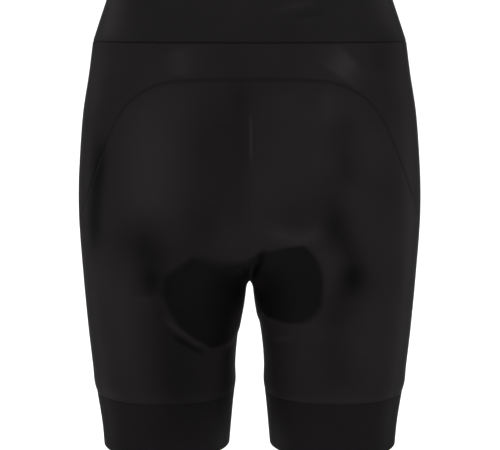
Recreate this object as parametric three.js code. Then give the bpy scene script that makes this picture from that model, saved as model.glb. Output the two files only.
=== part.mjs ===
// Women's cycling shorts: stretch cloth filled out as when worn, open at the waist and at both legs.
// Millimetres. +Z is up, the front faces -Y and the wearer's left is +X.
// The origin is the middle of the waist opening, half way up the waistband.

import * as THREE from 'three';

// Driving sizes
const bandTop = 33; // the waistband's folded top edge
const waistSeam = -31.5; // the waistband is 64.5 mm wide
const legSeam = -395.5; // where the leg bands are sewn on
const hem = -453; // the leg bands are 57.5 mm wide
const puff = 7; // the leg's cloth puffs out over this height above the tighter band
const clothWall = 1.5;
const legBandWall = 2;
const waistbandWall = 2.5;
const seamGap = 0.3;

// Sections of the hips, from the top down: half the width, and the reach to the front and to the back
const hipSections = [
  { height: bandTop, halfWidth: 139.2, front: 94, back: 91 },
  { height: 0, halfWidth: 150.7, front: 99, back: 97 },
  { height: waistSeam, halfWidth: 161.3, front: 103.4, back: 103.8, bend: true },
  { height: -62, halfWidth: 165.3, front: 106, back: 109 },
  { height: -103, halfWidth: 171.7, front: 107, back: 117 },
  { height: -144, halfWidth: 175.1, front: 106, back: 123 },
  { height: -186, halfWidth: 177.1, front: 104, back: 124 },
  { height: -228, halfWidth: 176.6, front: 101, back: 118 },
  { height: -268, halfWidth: 174.1, front: 98, back: 108 },
  { height: -300, halfWidth: 171.6, front: 95, back: 100 },
];

// Sections of one leg: its outer and inner side from the centre plane, and its reach to front and back
const legSections = [
  { height: -205, outer: 177.2, inner: 1.0, front: 93, back: 111 },
  { height: -250, outer: 175.3, inner: 2.8, front: 91, back: 103.5 },
  { height: -281, outer: 173.2, inner: 4.8, front: 90, back: 98.5 },
  { height: -302, outer: 171.4, inner: 6.9, front: 89, back: 95.5 },
  { height: -336, outer: 168.2, inner: 12.6, front: 86.5, back: 91.5 },
  { height: -370, outer: 164.5, inner: 15.4, front: 84, back: 88.5 },
  { height: legSeam + puff, outer: 162.6, inner: 15.2, front: 82.5, back: 87 },
  { height: legSeam, outer: 160.6, inner: 16.2, front: 80.5, back: 85, bend: true },
  { height: -404, outer: 159.2, inner: 17.2, front: 79.5, back: 84 },
  { height: -430, outer: 155.4, inner: 19.6, front: 77.5, back: 81.5 },
  { height: hem, outer: 153.4, inner: 21.6, front: 75.8, back: 79.8 },
];
const hipSquareness = 2.3; // 2 would be a plain ellipse
const legSquareness = 2.15;
const forkTop = -203; // above this the section is one hip oval
const forkBottom = -292; // below this it is two leg ovals
const crotchSoftness = 3.5; // rounds the cloth where the two legs meet

// Soft fullness and hollows of the filled-out cloth: side 1 is the back
const softForms = [
  { side: 1, x: 82, height: -185, rise: 4.0, spreadX: 42, spreadZ: 55 }, // fullness of each seat half
  { side: 1, x: 0, height: -190, rise: -3.0, spreadX: 22, spreadZ: 60 }, // the centre back pulls in
  { side: 1, x: 95, height: -272, rise: -1.5, spreadX: 45, spreadZ: 26 }, // hollow under the seat
];
const formFade = 60; // how deep the change from front to back is, through the side

// The arched seam over the seat and down each side. "around" runs from -1 at the centre front,
// through 0 at the outer side, to 1 at the centre back.
const archSeam = [
  { around: -0.055, height: legSeam },
  { around: -0.05, height: -340 },
  { around: -0.03, height: -290 },
  { around: 0.01, height: -256 },
  { around: 0.07, height: -232 },
  { around: 0.14, height: -214 },
  { around: 0.205, height: -200 },
  { around: 0.255, height: -187 },
  { around: 0.288, height: -173.5 },
  { around: 0.318, height: -157 },
  { around: 0.343, height: -141.5 },
  { around: 0.37, height: -126 },
  { around: 0.41, height: -106 },
  { around: 0.443, height: -95 },
  { around: 0.482, height: -85.5 },
  { around: 0.565, height: -75 },
  { around: 0.64, height: -70 },
  { around: 0.698, height: -68.5 },
  { around: 0.792, height: -67.5 },
  { around: 0.9, height: -67 },
  { around: 1, height: -67 },
];
const halfGirth = 240; // about how many millimetres one unit of "around" is, at the back
const frontSeamShare = 0.79; // how far out the side-front seam lies, as a share of half the width

// The pad inside the seat: along is measured on the centre seam from the crotch, towards the back
const padFrontEnd = -110;
const padBackEnd = 88;
const padWingReach = 26; // how much further back the wings reach than the middle
const padClearance = 2.4; // the pad stays this far inside the curved cloth, so that flat facets clear it too
const padThickness = 9;
const padEdgeThickness = 2;
const padHalfWidths = [
  { share: 0, halfWidth: 16 },
  { share: 0.06, halfWidth: 28 },
  { share: 0.16, halfWidth: 38 },
  { share: 0.35, halfWidth: 44 },
  { share: 0.5, halfWidth: 50 },
  { share: 0.62, halfWidth: 62 },
  { share: 0.75, halfWidth: 82 },
  { share: 0.85, halfWidth: 99 },
  { share: 0.94, halfWidth: 94 },
  { share: 1, halfWidth: 76 },
];

// How finely each piece is faceted
const riseSteps = 17; // from the waist seam, or the arch, to the crotch
const inseamSteps = 7; // from the crotch to the leg band
const sideSteps = riseSteps + inseamSteps;
const archSteps = 16; // from the arch's shoulder to the centre back
const frontSteps = 9; // from the centre front to the side-front seam
const yokeSteps = 8; // across the yoke and side
const bandSteps = 4; // up the waistband, and up each leg band
const crowding = 1.3; // above 1, stations lie closer together towards the crotch and the centre seams
const padStepsAlong = 24;
const padStepsAcross = 18;
const fineSteps = 400; // along a curve that is measured before it is divided into stations
const walkSteps = 30; // from the centre seam to the pad's edge

// Colours and finish
const black = 0x1d1a1b;
const knitRoughness = 0.62;
const bandRoughness = 0.7;
const padRoughness = 0.85;

// Numbers and tables

const lerp = THREE.MathUtils.lerp;

function smooth(value) {
  const u = THREE.MathUtils.clamp(value, 0, 1);
  return u * u * (3 - 2 * u);
}

// As smooth, with no bend where it starts and ends either
function verySmooth(value) {
  const u = THREE.MathUtils.clamp(value, 0, 1);
  return u ** 3 * (10 - 15 * u + 6 * u * u);
}

function evenly(first, last, steps) {
  return Array.from({ length: steps + 1 }, (_, i) => lerp(first, last, i / steps));
}

// Stations that lie closest together at the first end
function closerAtFirst(first, last, steps) {
  return evenly(0, 1, steps).map((u) => lerp(first, last, u ** crowding));
}

function closerAtLast(first, last, steps) {
  return closerAtFirst(last, first, steps).toReversed();
}

// Reads one column of a table as a smooth curve through its rows. A row marked bend keeps a corner.
function follow(rows, key, column, at) {
  const last = rows.length - 1;
  const down = rows[last][key] < rows[0][key];
  let i = 0;
  while (i < last - 1 && (down ? at < rows[i + 1][key] : at > rows[i + 1][key])) i += 1;
  const span = rows[i + 1][key] - rows[i][key];
  const slopeOver = (k) => (rows[k + 1][column] - rows[k][column]) / (rows[k + 1][key] - rows[k][key]);
  const slopeAt = (k) => {
    if (k === 0 || k === last || rows[k].bend) return slopeOver(i);
    const before = Math.abs(rows[k][key] - rows[k - 1][key]);
    const after = Math.abs(rows[k + 1][key] - rows[k][key]);
    return (slopeOver(k - 1) * after + slopeOver(k) * before) / (before + after);
  };
  const u = THREE.MathUtils.clamp((at - rows[i][key]) / span, 0, 1);
  const start = rows[i][column];
  const end = rows[i + 1][column];
  return (
    (2 * u ** 3 - 3 * u ** 2 + 1) * start +
    (u ** 3 - 2 * u ** 2 + u) * span * slopeAt(i) +
    (3 * u ** 2 - 2 * u ** 3) * end +
    (u ** 3 - u ** 2) * span * slopeAt(i + 1)
  );
}

// Halves the range from a value inside the cloth to one outside until it is on the cloth.
function search(inside, outside, isInside) {
  let low = inside;
  let high = outside;
  for (let i = 0; i < 40; i += 1) {
    const middle = (low + high) / 2;
    if (isInside(middle)) low = middle;
    else high = middle;
  }
  return (low + high) / 2;
}

// The cloth's surface

// How far a point lies outside a squarish oval, near enough in millimetres
function outsideOval(x, y, halfWidth, front, back, squareness) {
  const depth = y < 0 ? front : back;
  const sum = (Math.abs(x) / halfWidth) ** squareness + (Math.abs(y) / depth) ** squareness;
  return (sum ** (1 / squareness) - 1) * Math.min(halfWidth, (front + back) / 2);
}

// Below zero inside the cloth, zero on it and above zero outside. Down the fork of the legs, the
// hips' oval gives way to one oval for each leg.
function outsideCloth(x, y, height) {
  const hip = (column) => follow(hipSections, 'height', column, height);
  const leg = (column) => follow(legSections, 'height', column, height);
  const hips = outsideOval(x, y, hip('halfWidth'), hip('front'), hip('back'), hipSquareness);
  const legMiddle = (leg('outer') + leg('inner')) / 2;
  const legHalf = (leg('outer') - leg('inner')) / 2;
  const sideways = Math.sqrt(x * x + crotchSoftness * crotchSoftness) - legMiddle;
  const legs = outsideOval(sideways, y, legHalf, leg('front'), leg('back'), legSquareness);
  const share = verySmooth((height - forkBottom) / (forkTop - forkBottom));
  let outside = lerp(legs, hips, share);
  for (const form of softForms) {
    const facing = smooth(0.5 + (form.side * y) / formFade);
    const away = ((Math.abs(x) - form.x) / form.spreadX) ** 2 + ((height - form.height) / form.spreadZ) ** 2;
    outside -= form.rise * facing * Math.exp(-away / 2);
  }
  return outside;
}

function outsideAt(point) {
  return outsideCloth(point.x, point.y, point.z);
}

// The way that the cloth faces, from how the distance changes around the point
function facing(point) {
  const near = 0.05;
  const change = (axis) => {
    const ahead = point.clone();
    const behind = point.clone();
    ahead[axis] += near;
    behind[axis] -= near;
    return outsideAt(ahead) - outsideAt(behind);
  };
  return new THREE.Vector3(change('x'), change('y'), change('z')).normalize();
}

const crotch = search(forkTop, legSeam, (height) => outsideCloth(0, 0, height) < 0);

// Where the centre seam is at a height: side is 1 for the back and -1 for the front
function centreSeam(height, side) {
  if (height <= crotch) return 0;
  return side * search(0, halfGirth, (y) => outsideCloth(0, side * y, height) < 0);
}

// Each section is drawn round an axis that moves out from the hips to the middle of the leg.
const hipAxis = 50;
const axisTop = -120;
const axisBottom = -290;
const hipTurn = 2; // radians from the outer side to the centre seam at the hips
const turnPower = 3; // keeps the wider turn of the legs close to the centre seam and the inseam

function sectionAxis(height) {
  const outer = follow(legSections, 'height', 'outer', height);
  const inner = follow(legSections, 'height', 'inner', height);
  return lerp((outer + inner) / 2, hipAxis, smooth((height - axisBottom) / (axisTop - axisBottom)));
}

// A point of the cloth's outer face on the wearer's left half
function clothPoint(around, height) {
  const axis = sectionAxis(height);
  const side = around < 0 ? -1 : 1;
  const furthest = height > crotch ? Math.atan2(Math.abs(centreSeam(height, side)), -axis) : Math.PI;
  const angle = around * hipTurn + side * (furthest - hipTurn) * Math.abs(around) ** turnPower;
  const reach = Math.cos(angle) < -1e-9 ? Math.min(halfGirth, -axis / Math.cos(angle)) : halfGirth;
  const at = (radius) => new THREE.Vector3(axis + radius * Math.cos(angle), radius * Math.sin(angle), height);
  const point = at(search(0, reach, (radius) => outsideAt(at(radius)) < 0));
  if (Math.abs(around) === 1 && height >= crotch) point.x = 0;
  return point;
}

// A spot is a point on the cloth with the way it faces. Left is 1 on the wearer's left, -1 on the right.
function spot(around, height, left = 1) {
  const point = clothPoint(around, height);
  return mirrored({ point, normal: facing(point) }, left);
}

function mirrored({ point, normal }, left) {
  const flip = new THREE.Vector3(left, 1, 1);
  return { point: point.clone().multiply(flip), normal: normal.clone().multiply(flip) };
}

// Seams, each as its stations from the top down or from the leg up

// Heights down the centre seam, evenly spaced along it, then down the inseam to the leg band
function centreHeights(top, side) {
  const heights = evenly(1, 0, fineSteps).map((u) => crotch + (top - crotch) * u * u);
  const points = heights.map((height) => new THREE.Vector2(centreSeam(height, side), height));
  const lengths = [0];
  for (let i = 1; i <= fineSteps; i += 1) {
    lengths.push(lengths[i - 1] + points[i].distanceTo(points[i - 1]));
  }
  const rise = closerAtLast(0, lengths[fineSteps], riseSteps).map((length) => {
    const i = Math.min(fineSteps - 1, lengths.findLastIndex((value) => value <= length));
    return lerp(heights[i], heights[i + 1], (length - lengths[i]) / (lengths[i + 1] - lengths[i]));
  });
  return [...rise, ...closerAtFirst(crotch, legSeam + puff, inseamSteps - 1).slice(1), legSeam];
}

// The side-front seam stays at the same share of the width all the way down.
function sideFrontStation(height) {
  const x = frontSeamShare * clothPoint(0, height).x;
  const around = search(-frontSeamShare, 0, (station) => clothPoint(station, height).x < x);
  return { around, height };
}

function frontAcross(sideAround) {
  return closerAtFirst(-1, sideAround, frontSteps);
}

const frontCentre = centreHeights(waistSeam, -1);
const backCentre = centreHeights(archSeam.at(-1).height, 1);
const frontSide = [...evenly(waistSeam, legSeam + puff, sideSteps - 1), legSeam].map(sideFrontStation);
const waistAcross = evenly(frontSide[0].around, 1, archSteps);

// The arched seam from the leg band up to the centre back, with its shoulder at a known station
const archShoulder = 0.37;

function archStations() {
  const rows = archSeam.map((row) => new THREE.Vector2(row.around * halfGirth, row.height));
  const fine = new THREE.SplineCurve(rows).getSpacedPoints(fineSteps);
  const shoulder = fine.findIndex((point) => point.x >= archShoulder * halfGirth);
  const puffTop = fine.findIndex((point) => point.y >= legSeam + puff);
  const side = evenly(puffTop, shoulder, sideSteps - 1).map((i) => fine[Math.round(i)]);
  const arch = closerAtLast(shoulder, fine.length - 1, archSteps).map((i) => fine[Math.round(i)]);
  const stations = [fine[0], ...side, ...arch.slice(1)];
  return stations.map((point) => ({ around: point.x / halfGirth, height: point.y }));
}

const arch = archStations();
const sideFoot = arch[0].around;
const yokeFoot = evenly(frontSide.at(-1).around, sideFoot, yokeSteps);
const backFoot = closerAtLast(sideFoot, 1, archSteps);

// Walls

// The rim of a grid as one loop, each station with the next one inwards
function rimLoop(rows, columns, wraps) {
  const loops = [];
  const top = [];
  const bottom = [];
  for (let j = 0; j < columns; j += 1) {
    top.push({ at: [0, j], in: [1, j] });
    bottom.push({ at: [rows - 1, columns - 1 - j], in: [rows - 2, columns - 1 - j] });
  }
  if (wraps) {
    loops.push(top, bottom);
    return loops;
  }
  const right = [];
  const left = [];
  for (let i = 0; i < rows; i += 1) {
    right.push({ at: [i, columns - 1], in: [i, columns - 2] });
    left.push({ at: [rows - 1 - i, 0], in: [rows - 1 - i, 1] });
  }
  loops.push([...top, ...right, ...bottom, ...left]);
  return loops;
}

// Draws a layer's open edges in by half the seam gap, so that two pieces meet with the gap between them.
function drawEdgesIn(layer, wraps) {
  const rows = layer.length;
  const columns = layer[0].length;
  const moves = new Map();
  for (const loop of rimLoop(rows, columns, wraps)) {
    loop.forEach((here, k) => {
      const next = loop[(k + 1) % loop.length];
      const [a, b] = [layer[here.at[0]][here.at[1]], layer[next.at[0]][next.at[1]]];
      const along = b.clone().sub(a);
      if (along.length() < 1e-9) return;
      along.normalize();
      const inwards = layer[here.in[0]][here.in[1]].clone().sub(a);
      inwards.add(layer[next.in[0]][next.in[1]].clone().sub(b));
      inwards.addScaledVector(along, -inwards.dot(along)).normalize();
      for (const station of [here, next]) {
        const name = station.at.join();
        moves.set(name, [...(moves.get(name) ?? []), inwards]);
      }
    });
  }
  const drawn = layer.map((row) => row.map((point) => point.clone()));
  for (const [name, ways] of moves) {
    const [i, j] = name.split(',').map(Number);
    const sum = ways.reduce((total, way) => total.add(way), new THREE.Vector3());
    const first = ways[0];
    drawn[i][j].addScaledVector(sum, seamGap / 2 / Math.max(0.5, sum.dot(first)));
  }
  return drawn;
}

// A closed body from a grid of spots: two layers, depths below the cloth's outer face, and rims
// round the open edges. A grid that wraps is a tube.
function wallGeometry(spots, outerDepth, innerDepth, wraps) {
  const rows = spots.length;
  const columns = spots[0].length;
  const sink = ({ point, normal }, depth) => point.clone().addScaledVector(normal, -depth);
  const sunk = (depth) => spots.map((row, i) => row.map((here, j) => sink(here, depth(i, j))));
  const layers = [sunk(outerDepth), sunk(innerDepth)].map((layer) => drawEdgesIn(layer, wraps));
  const positions = layers.flat(2).flatMap((point) => point.toArray());
  const index = (layer, i, j) => (layer * rows + i) * columns + (j % columns);
  const faces = [];
  const quad = (a, b, c, d) => faces.push(a, b, c, a, c, d);
  const cellsAcross = wraps ? columns : columns - 1;
  for (let i = 0; i < rows - 1; i += 1) {
    for (let j = 0; j < cellsAcross; j += 1) {
      quad(index(0, i, j), index(0, i + 1, j), index(0, i + 1, j + 1), index(0, i, j + 1));
      quad(index(1, i, j), index(1, i, j + 1), index(1, i + 1, j + 1), index(1, i + 1, j));
    }
  }
  for (let j = 0; j < cellsAcross; j += 1) {
    quad(index(0, 0, j), index(0, 0, j + 1), index(1, 0, j + 1), index(1, 0, j));
    quad(index(0, rows - 1, j + 1), index(0, rows - 1, j), index(1, rows - 1, j), index(1, rows - 1, j + 1));
  }
  if (!wraps) {
    for (let i = 0; i < rows - 1; i += 1) {
      quad(index(0, i + 1, 0), index(0, i, 0), index(1, i, 0), index(1, i + 1, 0));
      const end = columns - 1;
      quad(index(0, i, end), index(0, i + 1, end), index(1, i + 1, end), index(1, i, end));
    }
  }
  if (signedVolume(positions, faces) < 0) faces.reverse();
  const geometry = new THREE.BufferGeometry();
  geometry.setAttribute('position', new THREE.Float32BufferAttribute(positions, 3));
  geometry.setIndex(faces);
  geometry.computeVertexNormals();
  return geometry;
}

function signedVolume(positions, faces) {
  const corner = (k) => new THREE.Vector3().fromArray(positions, 3 * faces[k]);
  let volume = 0;
  for (let k = 0; k < faces.length; k += 3) volume += corner(k).dot(corner(k + 1).cross(corner(k + 2))) / 6;
  return volume;
}

const outerFace = () => 0;
const deep = (depth) => () => depth;

function clothPiece(name, spots, wall, roughness, wraps = false) {
  return namedPiece(name, wallGeometry(spots, outerFace, deep(wall), wraps), roughness);
}

function namedPiece(name, geometry, roughness) {
  const material = new THREE.MeshStandardMaterial({ color: black, roughness, metalness: 0 });
  const piece = new THREE.Mesh(geometry, material);
  piece.name = name;
  return piece;
}

// Pieces

// Both ends of the waistband meet in it, so its stations run all the way round.
function waistband() {
  const left = [...frontAcross(waistAcross[0]).slice(0, -1), ...waistAcross];
  const around = [
    ...left.map((station) => ({ station, left: 1 })),
    ...left.slice(1, -1).reverse().map((station) => ({ station, left: -1 })),
  ];
  const rows = evenly(bandTop, waistSeam, bandSteps);
  const spots = rows.map((height) => around.map(({ station, left: side }) => spot(station, height, side)));
  return clothPiece('waistband', spots, waistbandWall, bandRoughness, true);
}

// One piece from the leg band up one side, over the back under the waistband, and down the other side
function hipYoke() {
  const waistEdge = waistAcross.slice(1).map((around) => ({ around, height: waistSeam }));
  const outerEdge = [...frontSide.toReversed(), ...waistEdge];
  const half = arch.map((inner, k) =>
    evenly(0, 1, yokeSteps).map((u) =>
      spot(lerp(outerEdge[k].around, inner.around, u), lerp(outerEdge[k].height, inner.height, u)),
    ),
  );
  const rest = half.slice(0, -1).toReversed().map((row) => row.map((here) => mirrored(here, -1)));
  return clothPiece('hip_yoke', [...half, ...rest], clothWall, knitRoughness);
}

function frontPanel(name, left) {
  const spots = frontCentre.map((centreHeight, i) => {
    const side = frontSide[i];
    return frontAcross(side.around).map((around) => {
      const towardsCentre = (side.around - around) / (side.around + 1);
      return spot(around, lerp(side.height, centreHeight, towardsCentre ** 2), left);
    });
  });
  return clothPiece(name, spots, clothWall, knitRoughness);
}

// The seat and the back of one leg: its four edges are blended into a grid.
function backPanel(name, left) {
  const side = arch.slice(0, sideSteps + 1).toReversed();
  const top = arch.slice(sideSteps);
  const spots = backCentre.map((centreHeight, i) => {
    const v = i / sideSteps;
    return backFoot.map((foot, j) => {
      const u = (foot - sideFoot) / (1 - sideFoot);
      const blend = (key, centre, footValue, corners) =>
        lerp(top[j][key], footValue, v) +
        lerp(side[i][key], centre, u) -
        lerp(lerp(top[0][key], corners.top, u), lerp(side.at(-1)[key], corners.foot, u), v);
      const around = blend('around', 1, foot, { top: 1, foot: 1 });
      const height = blend('height', centreHeight, legSeam, { top: backCentre[0], foot: legSeam });
      return spot(Math.min(1, around), height, left);
    });
  });
  return clothPiece(name, spots, clothWall, knitRoughness);
}

function legBand(name, left) {
  const front = frontAcross(yokeFoot[0]).slice(0, -1);
  const around = [...front, ...yokeFoot.slice(0, -1), ...backFoot.slice(0, -1)];
  const rows = evenly(legSeam, hem, bandSteps);
  const spots = rows.map((height) => around.map((station) => spot(station, height, left)));
  return clothPiece(name, spots, legBandWall, bandRoughness, true);
}

// The pad follows the cloth: a station on the centre seam, then a walk outwards on the cloth.

// The centre seam as points from the front to the back, with their distance from the crotch
function centreLine() {
  const top = crotch + halfGirth;
  const line = evenly(-1, 1, 2 * fineSteps).map((u) => {
    const height = lerp(crotch, top, u * u);
    return new THREE.Vector3(0, centreSeam(height, Math.sign(u) || 1), height);
  });
  const along = [0];
  for (let i = 1; i < line.length; i += 1) along.push(along[i - 1] + line[i].distanceTo(line[i - 1]));
  return line.map((point, i) => ({ along: along[i] - along[fineSteps], y: point.y, z: point.z }));
}

const seamLine = centreLine();

function seamPoint(along) {
  const i = Math.max(0, seamLine.findLastIndex((row) => row.along <= along));
  const [here, next] = [seamLine[i], seamLine[i + 1]];
  const u = (along - here.along) / (next.along - here.along);
  return new THREE.Vector3(0, lerp(here.y, next.y, u), lerp(here.z, next.z, u));
}

// Steps outwards from the centre seam, in the plane square to it, staying on the cloth
function walkOut(along, distance) {
  const run = seamPoint(along + 2).sub(seamPoint(along - 2)).normalize();
  const inPlane = (vector) => vector.addScaledVector(run, -vector.dot(run));
  const point = seamPoint(along);
  const way = new THREE.Vector3(1, 0, 0);
  for (let i = 0; i < walkSteps; i += 1) {
    point.addScaledVector(way, distance / walkSteps);
    const up = inPlane(facing(point)).normalize();
    const slope = (outsideAt(point.clone().add(up)) - outsideAt(point.clone().sub(up))) / 2;
    point.addScaledVector(up, -outsideAt(point) / slope);
    way.addScaledVector(up, -way.dot(up)).normalize();
  }
  return { point, normal: facing(point) };
}

function seatPad() {
  const shares = evenly(0, 1, padStepsAlong);
  const across = evenly(0, 1, padStepsAcross / 2);
  const spots = shares.map((share) => {
    const half = across.map((out) => {
      const backEnd = padBackEnd + padWingReach * smooth(out);
      const width = follow(padHalfWidths, 'share', 'halfWidth', share);
      return walkOut(lerp(padFrontEnd, backEnd, share), out * width);
    });
    return [...half.slice(1).toReversed().map((here) => mirrored(here, -1)), ...half];
  });
  const top = clothWall + padClearance;
  const thickness = (i, j) => {
    const out = Math.abs((2 * j) / padStepsAcross - 1);
    const end = Math.abs((2 * i) / padStepsAlong - 1);
    return lerp(padEdgeThickness, padThickness, (1 - out ** 4) * (1 - end ** 6));
  };
  const geometry = wallGeometry(spots, deep(top), (i, j) => top + thickness(i, j), false);
  return namedPiece('seat_pad', geometry, padRoughness);
}

const shorts = new THREE.Group();
shorts.add(
  waistband(),
  hipYoke(),
  frontPanel('front_left', 1),
  frontPanel('front_right', -1),
  backPanel('back_left', 1),
  backPanel('back_right', -1),
  legBand('leg_band_left', 1),
  legBand('leg_band_right', -1),
  seatPad(),
);

export default shorts;
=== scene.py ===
# %% [markdown]
# # Cycling shorts, seen from behind
#
# The shorts are stretch cloth filled out as when worn, with no wearer. Each panel is a thin shell on
# the same curved form as its solid. The form, the seams and the pad are formulas, so that all panels
# meet in their seams, and the sewing, the creases and the knit are added on top of them.

# %% The shared frame
import math

import bpy
import numpy as np
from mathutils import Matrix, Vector


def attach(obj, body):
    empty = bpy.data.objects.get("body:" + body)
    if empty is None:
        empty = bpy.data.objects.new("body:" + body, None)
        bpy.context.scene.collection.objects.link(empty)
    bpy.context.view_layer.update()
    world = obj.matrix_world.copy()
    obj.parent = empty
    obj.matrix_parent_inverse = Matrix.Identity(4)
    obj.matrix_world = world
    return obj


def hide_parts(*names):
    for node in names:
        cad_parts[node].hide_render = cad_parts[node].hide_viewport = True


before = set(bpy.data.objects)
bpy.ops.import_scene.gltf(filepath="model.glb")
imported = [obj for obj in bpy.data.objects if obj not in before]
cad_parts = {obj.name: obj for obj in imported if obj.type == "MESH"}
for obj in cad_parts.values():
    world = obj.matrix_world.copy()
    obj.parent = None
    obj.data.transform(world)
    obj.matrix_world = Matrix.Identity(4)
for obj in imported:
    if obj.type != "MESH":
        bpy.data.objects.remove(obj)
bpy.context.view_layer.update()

# %% [markdown]
# ## The form
#
# Cloth that fills out is smooth, so a few measured sections, read as smooth curves, say all of it.
# Above the fork each section is one squarish oval. Below it there is one oval for each leg, and in
# between the one gives way to the other. All sizes are millimetres until a mesh is made.

# %% Sizes and sections
BAND_TOP = 33.0
WAIST_SEAM = -31.5
LEG_SEAM = -395.5
HEM = -453.0
PUFF = 7.0  # the leg's cloth puffs out over this height above the tighter band
CLOTH_WALL = 1.5
LEG_BAND_WALL = 2.0
WAISTBAND_WALL = 2.5

# Height, half the width, reach to the front, reach to the back, and 1 where the outline has a corner
HIP_SECTIONS = np.array([
    (BAND_TOP, 139.2, 94, 91, 0),
    (0, 150.7, 99, 97, 0),
    (WAIST_SEAM, 161.3, 103.4, 103.8, 1),
    (-62, 165.3, 106, 109, 0),
    (-103, 171.7, 107, 117, 0),
    (-144, 175.1, 106, 123, 0),
    (-186, 177.1, 104, 124, 0),
    (-228, 176.6, 101, 118, 0),
    (-268, 174.1, 98, 108, 0),
    (-300, 171.6, 95, 100, 0),
])

# Height, outer side and inner side from the centre plane, reach to the front and to the back, corner
LEG_SECTIONS = np.array([
    (-205, 177.2, 1.0, 93, 111, 0),
    (-250, 175.3, 2.8, 91, 103.5, 0),
    (-281, 173.2, 4.8, 90, 98.5, 0),
    (-302, 171.4, 6.9, 89, 95.5, 0),
    (-336, 168.2, 12.6, 86.5, 91.5, 0),
    (-370, 164.5, 15.4, 84, 88.5, 0),
    (LEG_SEAM + PUFF, 162.6, 15.2, 82.5, 87, 0),
    (LEG_SEAM, 160.6, 16.2, 80.5, 85, 1),
    (-404, 159.2, 17.2, 79.5, 84, 0),
    (-430, 155.4, 19.6, 77.5, 81.5, 0),
    (HEM, 153.4, 21.6, 75.8, 79.8, 0),
])
HIP_SQUARENESS = 2.3
LEG_SQUARENESS = 2.15
FORK_TOP = -203.0
FORK_BOTTOM = -292.0
CROTCH_SOFTNESS = 3.5

# Side (1 is the back), distance from the centre, height, rise, and how wide and high it spreads
SOFT_FORMS = (
    (1, 82, -185, 4.0, 42, 55),
    (1, 0, -190, -3.0, 22, 60),
    (1, 95, -272, -1.5, 45, 26),
)
FORM_FADE = 60.0

# The arched seam: how far round from the outer side (0) to the centre back (1), and the height
ARCH_SEAM = np.array([
    (-0.055, LEG_SEAM), (-0.05, -340), (-0.03, -290), (0.01, -256), (0.07, -232), (0.14, -214),
    (0.205, -200), (0.255, -187), (0.288, -173.5), (0.318, -157), (0.343, -141.5), (0.37, -126),
    (0.41, -106), (0.443, -95), (0.482, -85.5), (0.565, -75), (0.64, -70), (0.698, -68.5),
    (0.792, -67.5), (0.9, -67), (1, -67),
])
HALF_GIRTH = 240.0
ARCH_SHOULDER = 0.37
FRONT_SEAM_SHARE = 0.79
HIP_AXIS = 50.0
AXIS_TOP = -120.0
AXIS_BOTTOM = -290.0
HIP_TURN = 2.0
TURN_POWER = 3
print("Form:", len(HIP_SECTIONS), "hip sections and", len(LEG_SECTIONS), "leg sections")


# %% Curves through the sections
def smooth(value):
    """3u² − 2u³, with u the value held between 0 and 1"""
    u = np.clip(value, 0, 1)
    return u * u * (3 - 2 * u)


def very_smooth(value):
    """u³(10 − 15u + 6u²), which has no bend where it starts and ends"""
    u = np.clip(value, 0, 1)
    return u**3 * (10 - 15 * u + 6 * u * u)


def lerp(first, last, share):
    """first + (last − first) · share"""
    return first + (last - first) * share


def follow(rows, column, at):
    """A column at given heights, as cubic Hermite pieces: (2u³−3u²+1)a + (3u²−2u³)b + slope terms"""
    key, value, corner = rows[:, 0], rows[:, column], rows[:, -1] > 0
    rise = np.diff(value) / np.diff(key)
    gap = np.abs(np.diff(key))
    middle = (rise[:-1] * gap[1:] + rise[1:] * gap[:-1]) / (gap[:-1] + gap[1:])
    leaving = np.append(rise[:1], np.where(corner[1:-1], rise[1:], middle))
    arriving = np.append(np.where(corner[1:-1], rise[:-1], middle), rise[-1:])
    way = np.sign(key[-1] - key[0])
    i = np.clip(np.searchsorted(way * key, way * at, side="right") - 1, 0, len(key) - 2)
    span = key[i + 1] - key[i]
    u = np.clip((at - key[i]) / span, 0, 1)
    ends = (2 * u**3 - 3 * u**2 + 1) * value[i] + (3 * u**2 - 2 * u**3) * value[i + 1]
    slopes = (u**3 - 2 * u**2 + u) * leaving[i] + (u**3 - u**2) * arriving[i]
    return ends + slopes * span


def search(inside, outside, is_inside):
    """Halves the range between arrays of inside and outside values forty times."""
    low, high = inside.copy(), outside.copy()
    for _ in range(40):
        middle = (low + high) / 2
        within = is_inside(middle)
        low = np.where(within, middle, low)
        high = np.where(within, high, middle)
    return (low + high) / 2


# %% The cloth as a distance
def section(height):
    """The hips' and one leg's sizes at each height, and the share (0 to 1) that the hips have there"""
    outer = follow(LEG_SECTIONS, 1, height)
    inner = follow(LEG_SECTIONS, 2, height)
    return {
        "hip": [follow(HIP_SECTIONS, column, height) for column in (1, 2, 3)],
        "middle": (outer + inner) / 2,
        "leg": [(outer - inner) / 2, *(follow(LEG_SECTIONS, column, height) for column in (3, 4))],
        "share": very_smooth((height - FORK_BOTTOM) / (FORK_TOP - FORK_BOTTOM)),
    }


def outside_oval(x, y, sizes, squareness):
    """((|x|/w)ⁿ + (|y|/d)ⁿ)^(1/n) − 1, times the smaller of the half width w and the mean depth d"""
    half_width, front, back = sizes
    depth = np.where(y < 0, front, back)
    ratio = ((np.abs(x) / half_width)**squareness + (np.abs(y) / depth)**squareness)**(1 / squareness)
    return (ratio - 1) * np.minimum(half_width, (front + back) / 2)


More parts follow.
